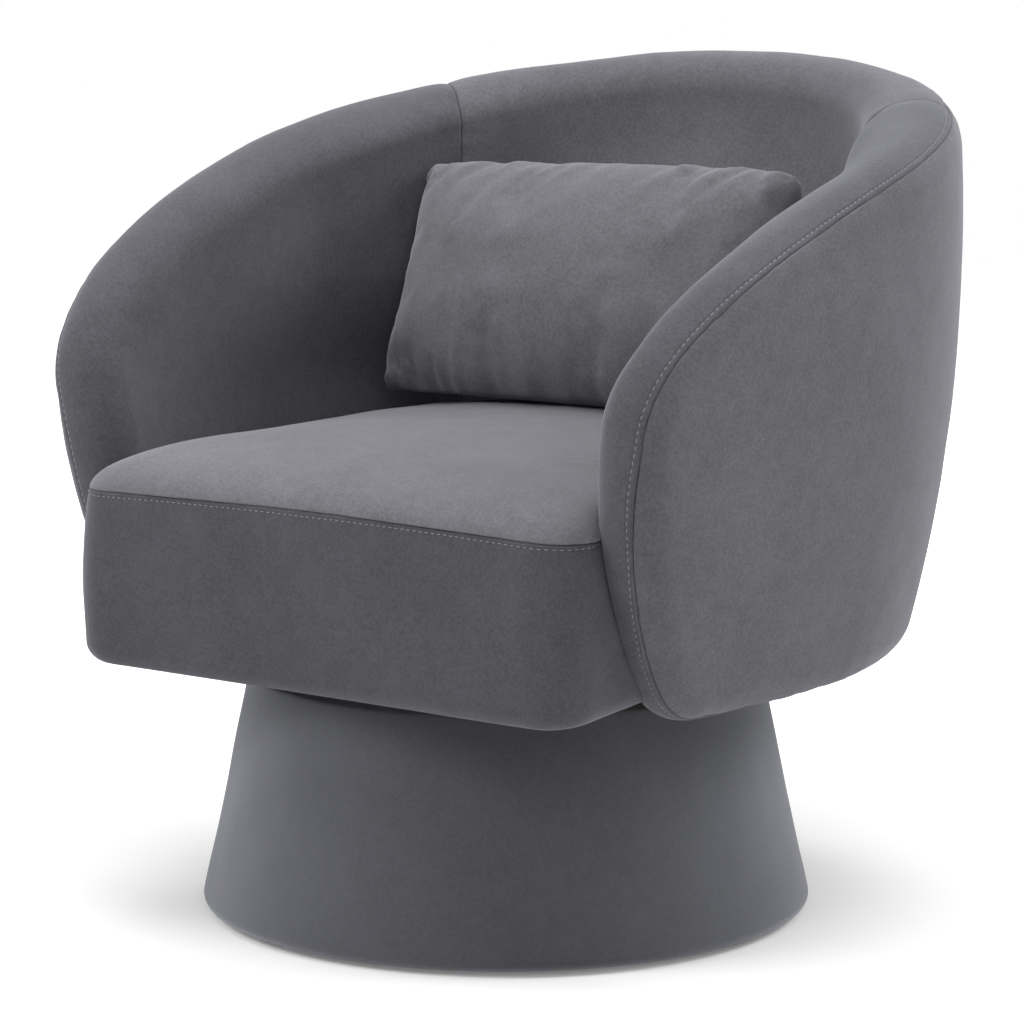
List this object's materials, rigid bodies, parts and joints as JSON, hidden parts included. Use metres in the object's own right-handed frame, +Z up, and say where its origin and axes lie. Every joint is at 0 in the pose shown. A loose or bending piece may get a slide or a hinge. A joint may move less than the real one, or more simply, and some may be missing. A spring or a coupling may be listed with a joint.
{
  "type": "swivel barrel armchair",
  "caption": "Upholstered barrel armchair with a wide crowned seat and a loose lumbar pillow, turning on a covered cone-shaped drum base.",
  "frame": {"origin": "on the floor, on the swivel's axis, at the underside of the middle glide", "axes": "+Z up along the swivel's axis, -Y the way the seat faces, +X towards the arm on the right as a viewer faces the chair"},
  "size_m": [0.7518, 0.7129, 0.76],
  "materials": {
    "velvet": "charcoal grey cut velvet with a soft sheen and a brushed nap",
    "foam": "open-cell upholstery foam",
    "dust_cloth": "black non-woven cloth",
    "plywood": "unfinished plywood",
    "board": "unfinished fibreboard",
    "timber": "planed softwood",
    "swivel_steel": "zinc-plated pressed steel",
    "dark_steel": "blackened steel",
    "glides": "black nylon"
  },
  "bodies": {
    "base": {"glide_1": "glides", "glide_2": "glides", "glide_3": "glides", "glide_4": "glides", "glide_5": "glides", "glide_6": "glides", "base_floor_disc": "board", "base_top_disc": "board", "base_post_1": "timber", "base_post_2": "timber", "base_post_3": "timber", "base_post_4": "timber", "base_cone_panel": "board", "base_cover": "velvet", "base_dust_cover": "dust_cloth", "swivel_lower_plate": "swivel_steel", "base_bolt_1": "dark_steel", "base_bolt_2": "dark_steel", "base_bolt_3": "dark_steel", "base_bolt_4": "dark_steel", "swivel_king_pin": "dark_steel", "king_pin_retainer": "dark_steel"},
    "balls": {"ball_cage": "dark_steel"},
    "seat": {"swivel_upper_plate": "swivel_steel", "seat_bolt_1": "dark_steel", "seat_bolt_2": "dark_steel", "seat_bolt_3": "dark_steel", "seat_bolt_4": "dark_steel", "seat_board": "plywood", "seat_dust_cover": "dust_cloth", "front_rail": "timber", "side_rail_left": "timber", "side_rail_right": "timber", "back_rail": "plywood", "spring_rail": "timber", "seat_spring_1": "dark_steel", "seat_spring_2": "dark_steel", "seat_spring_3": "dark_steel", "seat_spring_4": "dark_steel", "front_clip_strip": "swivel_steel", "rear_clip_strip": "swivel_steel", "spring_cover": "dust_cloth", "seat_foam": "foam", "seat_border": "velvet", "seat_cushion": "velvet", "shell_core_panel": "plywood", "shell_block_1": "timber", "shell_block_2": "timber", "shell_block_3": "timber", "shell_block_4": "timber", "shell_block_5": "timber", "inside_back": "velvet", "inside_arm_left": "velvet", "inside_arm_right": "velvet", "outside_back": "velvet", "outside_arm_left": "velvet", "outside_arm_right": "velvet"},
    "pillow": {"lumbar_pillow": "velvet"}
  },
  "joints": [
    {"name": "swivel", "type": "hinge", "parent": "base", "child": "seat", "pos_m": [0, 0, 0.228], "axis": [0, 0, 1], "continuous": true},
    {"name": "ball_roll", "type": "hinge", "parent": "base", "child": "balls", "pos_m": [0, 0, 0.228], "axis": [0, 0, 1], "continuous": true},
    {"name": "pillow_lift", "type": "slide", "parent": "seat", "child": "pillow", "axis": [0, 0, 1], "range_m": [0, 0.35]}
  ],
  "couplings": [
    {"joint": "ball_roll", "follows": "swivel", "ratio": 0.5}
  ]
}
